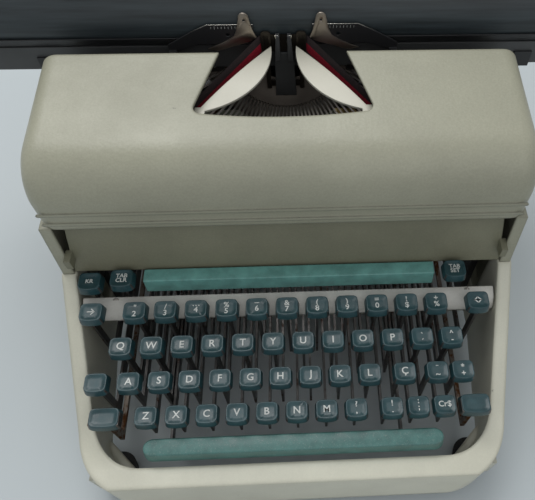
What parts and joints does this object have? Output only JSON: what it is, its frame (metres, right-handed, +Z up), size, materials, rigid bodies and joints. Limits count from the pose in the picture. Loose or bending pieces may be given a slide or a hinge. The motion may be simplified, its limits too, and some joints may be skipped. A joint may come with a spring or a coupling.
{
  "type": "typewriter",
  "caption": "Office typewriter with a long carriage: typebar machine with a keyboard, hinged ribbon cover, shifting type basket and turning platen.",
  "frame": {"origin": "on the table under the middle of the machine, level with the soles of the feet, halfway between its front and back", "axes": "+X to the typist's right, along the carriage; +Y away from the typist; +Z up"},
  "size_m": [0.514, 0.366, 0.262],
  "materials": {
    "cover_paint": "wrinkle",
    "panel_paint": "wrinkle",
    "frame_enamel": "satin",
    "bar_enamel": "satin",
    "key_plastic": "gloss",
    "bar_plastic": "gloss",
    "steel": "satin",
    "black_steel": "satin",
    "nickel": "polished",
    "ivory_guard": "satin",
    "platen_rubber": "matt",
    "foot_rubber": "matt",
    "ribbon_cloth": "matt",
    "knob_plastic": "gloss",
    "brass": "satin"
  },
  "bodies": {
    "body": {"rubber_feet": "foot_rubber", "base_frame": "frame_enamel", "side_panel_left": "cover_paint", "side_panel_right": "cover_paint", "rear_panel": "cover_paint", "front_panel": "panel_paint", "mechanism_frame": "black_steel", "lever_shafts": "steel", "key_cross_bar": "bar_enamel", "ribbon_runs": "ribbon_cloth", "ribbon_guards": "ivory_guard", "card_holders": "black_steel", "carriage_rails": "steel", "bell": "brass"},
    "keys_bank_1": {"keys_bank_1": "key_plastic"},
    "keys_bank_2": {"keys_bank_2": "key_plastic"},
    "keys_bank_3": {"keys_bank_3": "key_plastic"},
    "keys_bank_4": {"keys_bank_4": "key_plastic"},
    "keys_bank_5": {"keys_bank_5": "key_plastic"},
    "keys_bank_6": {"keys_bank_6": "key_plastic"},
    "key_h": {"key_h": "key_plastic"},
    "space_bar": {"space_bar": "bar_plastic"},
    "backspace_key": {"backspace_key": "key_plastic"},
    "margin_release_key": {"margin_release_key": "key_plastic"},
    "key_release_key": {"key_release_key": "key_plastic"},
    "tab_clear_key": {"tab_clear_key": "key_plastic"},
    "tab_set_key": {"tab_set_key": "key_plastic"},
    "tab_bar": {"tab_bar": "bar_plastic"},
    "shift": {"shift_shaft": "steel", "shift_keys": "key_plastic"},
    "shift_lock": {"shift_lock_key": "key_plastic"},
    "type_basket": {"type_segment": "nickel", "type_guide": "nickel", "type_rest": "steel", "type_bars": "nickel"},
    "type_bar_h": {"type_bar_h": "nickel"},
    "ribbon_vibrator": {"ribbon_vibrator": "nickel"},
    "ribbon_spool_left": {"ribbon_spool_left": "black_steel"},
    "ribbon_spool_right": {"ribbon_spool_right": "black_steel"},
    "top_cover": {"top_cover": "cover_paint"},
    "card_finger_left": {"card_finger_left": "nickel"},
    "card_finger_right": {"card_finger_right": "nickel"},
    "carriage": {"carriage_bed": "black_steel", "carriage_ends": "black_steel", "margin_rail": "nickel", "paper_apron": "black_steel", "paper_table": "black_steel"},
    "platen": {"platen_roller": "platen_rubber", "platen_shaft": "steel", "platen_knobs": "knob_plastic"},
    "feed_rollers_front": {"feed_rollers_front": "foot_rubber"},
    "feed_rollers_rear": {"feed_rollers_rear": "foot_rubber"},
    "paper_bail": {"paper_bail": "nickel"},
    "return_lever": {"return_lever": "nickel"},
    "paper_release": {"paper_release_lever": "nickel"},
    "margin_stop_left": {"margin_stop_left": "black_steel"},
    "margin_stop_right": {"margin_stop_right": "black_steel"},
    "mainspring_drum": {"mainspring_drum": "black_steel"},
    "escapement_wheel": {"escapement_wheel": "brass"},
    "bell_hammer": {"bell_hammer": "steel"}
  },
  "joints": [
    {"name": "keys_bank_1_press", "type": "hinge", "parent": "body", "child": "keys_bank_1", "pos_m": [0, 0.1, 0.04], "axis": [1, 0, 0], "range_deg": [0, 3], "stiffness_Nm_per_rad": 0.5, "springref_deg": -20.05},
    {"name": "keys_bank_2_press", "type": "hinge", "parent": "body", "child": "keys_bank_2", "pos_m": [0, 0.1, 0.04], "axis": [1, 0, 0], "range_deg": [0, 3], "stiffness_Nm_per_rad": 0.5, "springref_deg": -20.05},
    {"name": "keys_bank_3_press", "type": "hinge", "parent": "body", "child": "keys_bank_3", "pos_m": [0, 0.1, 0.04], "axis": [1, 0, 0], "range_deg": [0, 3], "stiffness_Nm_per_rad": 0.5, "springref_deg": -20.05},
    {"name": "keys_bank_4_press", "type": "hinge", "parent": "body", "child": "keys_bank_4", "pos_m": [0, 0.1, 0.04], "axis": [1, 0, 0], "range_deg": [0, 3], "stiffness_Nm_per_rad": 0.5, "springref_deg": -20.05},
    {"name": "keys_bank_5_press", "type": "hinge", "parent": "body", "child": "keys_bank_5", "pos_m": [0, 0.1, 0.04], "axis": [1, 0, 0], "range_deg": [0, 3], "stiffness_Nm_per_rad": 0.5, "springref_deg": -20.05},
    {"name": "keys_bank_6_press", "type": "hinge", "parent": "body", "child": "keys_bank_6", "pos_m": [0, 0.1, 0.04], "axis": [1, 0, 0], "range_deg": [0, 3], "stiffness_Nm_per_rad": 0.5, "springref_deg": -20.05},
    {"name": "key_h_press", "type": "hinge", "parent": "body", "child": "key_h", "pos_m": [0, 0.1, 0.04], "axis": [1, 0, 0], "range_deg": [0, 3], "stiffness_Nm_per_rad": 0.5, "springref_deg": -20.05},
    {"name": "space_bar_press", "type": "hinge", "parent": "body", "child": "space_bar", "pos_m": [0, 0.1, 0.04], "axis": [1, 0, 0], "range_deg": [0, 1.8], "stiffness_Nm_per_rad": 0.5, "springref_deg": -20.05},
    {"name": "backspace_key_press", "type": "hinge", "parent": "body", "child": "backspace_key", "pos_m": [0, 0.1, 0.04], "axis": [1, 0, 0], "range_deg": [0, 3], "stiffness_Nm_per_rad": 0.5, "springref_deg": -20.05},
    {"name": "margin_release_key_press", "type": "hinge", "parent": "body", "child": "margin_release_key", "pos_m": [0, 0.1, 0.04], "axis": [1, 0, 0], "range_deg": [0, 3], "stiffness_Nm_per_rad": 0.5, "springref_deg": -20.05},
    {"name": "key_release_key_press", "type": "hinge", "parent": "body", "child": "key_release_key", "pos_m": [0, -0.03, 0.094], "axis": [1, 0, 0], "range_deg": [0, 8], "stiffness_Nm_per_rad": 0.2, "springref_deg": -11.46},
    {"name": "tab_clear_key_press", "type": "hinge", "parent": "body", "child": "tab_clear_key", "pos_m": [0, -0.03, 0.094], "axis": [1, 0, 0], "range_deg": [0, 8], "stiffness_Nm_per_rad": 0.2, "springref_deg": -11.46},
    {"name": "tab_set_key_press", "type": "hinge", "parent": "body", "child": "tab_set_key", "pos_m": [0, -0.03, 0.094], "axis": [1, 0, 0], "range_deg": [0, 8], "stiffness_Nm_per_rad": 0.2, "springref_deg": -11.46},
    {"name": "tab_bar_press", "type": "hinge", "parent": "body", "child": "tab_bar", "pos_m": [0, -0.03, 0.094], "axis": [1, 0, 0], "range_deg": [0, 8], "stiffness_Nm_per_rad": 0.2, "springref_deg": -11.46},
    {"name": "shift_press", "type": "hinge", "parent": "body", "child": "shift", "pos_m": [0, 0.02, 0.0265], "axis": [1, 0, 0], "range_deg": [0, 4.3], "stiffness_Nm_per_rad": 1.5, "springref_deg": -20.05},
    {"name": "shift_lock_press", "type": "hinge", "parent": "body", "child": "shift_lock", "pos_m": [0, 0.02, 0.0265], "axis": [1, 0, 0], "range_deg": [0, 4], "stiffness_Nm_per_rad": 0.5, "springref_deg": -20.05},
    {"name": "basket_shift", "type": "slide", "parent": "body", "child": "type_basket", "axis": [0, 0, 1], "range_m": [-0.0065, 0], "stiffness_N_per_m": 200, "springref_m": 0.02},
    {"name": "type_bar_h_strike", "type": "hinge", "parent": "type_basket", "child": "type_bar_h", "pos_m": [0, 0.04309, 0.1466], "axis": [-1, 0, 0], "range_deg": [0, 103.4]},
    {"name": "ribbon_lift", "type": "slide", "parent": "body", "child": "ribbon_vibrator", "axis": [0, 0, 1], "range_m": [0, 0.006]},
    {"name": "ribbon_spool_left_turn", "type": "hinge", "parent": "body", "child": "ribbon_spool_left", "pos_m": [-0.1, -0.014, 0.18], "axis": [0, 0, 1], "continuous": true},
    {"name": "ribbon_spool_right_turn", "type": "hinge", "parent": "body", "child": "ribbon_spool_right", "pos_m": [0.1, -0.014, 0.18], "axis": [0, 0, 1], "continuous": true},
    {"name": "cover_open", "type": "hinge", "parent": "body", "child": "top_cover", "pos_m": [0, 0.0325, 0.195], "axis": [-1, 0, 0], "range_deg": [0, 55]},
    {"name": "card_finger_left_swing", "type": "hinge", "parent": "body", "child": "card_finger_left", "pos_m": [-0.034, 0.0555, 0.204], "axis": [0, -1, 0], "range_deg": [0, 45]},
    {"name": "card_finger_right_swing", "type": "hinge", "parent": "body", "child": "card_finger_right", "pos_m": [0.034, 0.0555, 0.204], "axis": [0, 1, 0], "range_deg": [0, 45]},
    {"name": "carriage_travel", "type": "slide", "parent": "body", "child": "carriage", "axis": [-1, 0, 0], "range_m": [-0.16, 0.16]},
    {"name": "platen_turn", "type": "hinge", "parent": "carriage", "child": "platen", "pos_m": [0, 0.079, 0.207], "axis": [1, 0, 0], "continuous": true},
    {"name": "feed_rollers_front_turn", "type": "hinge", "parent": "carriage", "child": "feed_rollers_front", "pos_m": [0, 0.06877, 0.18169], "axis": [1, 0, 0], "continuous": true},
    {"name": "feed_rollers_rear_turn", "type": "hinge", "parent": "carriage", "child": "feed_rollers_rear", "pos_m": [0, 0.08923, 0.18169], "axis": [1, 0, 0], "continuous": true},
    {"name": "bail_lift", "type": "hinge", "parent": "carriage", "child": "paper_bail", "pos_m": [0, 0.104, 0.214], "axis": [-1, 0, 0], "range_deg": [0, 60]},
    {"name": "return_lever_swing", "type": "hinge", "parent": "carriage", "child": "return_lever", "pos_m": [-0.214, 0.059, 0.2248], "axis": [0, 0, 1], "range_deg": [0, 28], "stiffness_Nm_per_rad": 0.3, "springref_deg": -11.46},
    {"name": "paper_release_pull", "type": "hinge", "parent": "carriage", "child": "paper_release", "pos_m": [0.2065, 0.118, 0.196], "axis": [1, 0, 0], "range_deg": [0, 20]},
    {"name": "margin_stop_left_set", "type": "slide", "parent": "carriage", "child": "margin_stop_left", "axis": [1, 0, 0], "range_m": [-0.04, 0.12]},
    {"name": "margin_stop_right_set", "type": "slide", "parent": "carriage", "child": "margin_stop_right", "axis": [1, 0, 0], "range_m": [-0.12, 0.034]},
    {"name": "mainspring_turn", "type": "hinge", "parent": "body", "child": "mainspring_drum", "pos_m": [-0.095, 0.16, 0.108], "axis": [0, 1, 0], "range_deg": [-370, 370]},
    {"name": "escapement_turn", "type": "hinge", "parent": "body", "child": "escapement_wheel", "pos_m": [0, 0.11, 0.152], "axis": [0, 1, 0], "range_deg": [-1150, 1150]},
    {"name": "bell_hammer_swing", "type": "hinge", "parent": "body", "child": "bell_hammer", "pos_m": [0.03, 0.16, 0.098], "axis": [0, 1, 0], "range_deg": [-8, 8], "stiffness_Nm_per_rad": 0.01}
  ],
  "couplings": [
    {"joint": "type_bar_h_strike", "follows": "key_h_press", "ratio": 34.4},
    {"joint": "basket_shift", "follows": "shift_press", "m_per_rad": -0.0866},
    {"joint": "ribbon_spool_right_turn", "follows": "ribbon_spool_left_turn", "ratio": 1},
    {"joint": "feed_rollers_front_turn", "follows": "platen_turn", "ratio": -4.4},
    {"joint": "feed_rollers_rear_turn", "follows": "platen_turn", "ratio": -4.4},
    {"joint": "mainspring_turn", "follows": "carriage_travel", "rad_per_m": -38.462},
    {"joint": "escapement_turn", "follows": "carriage_travel", "rad_per_m": -120.48}
  ]
}
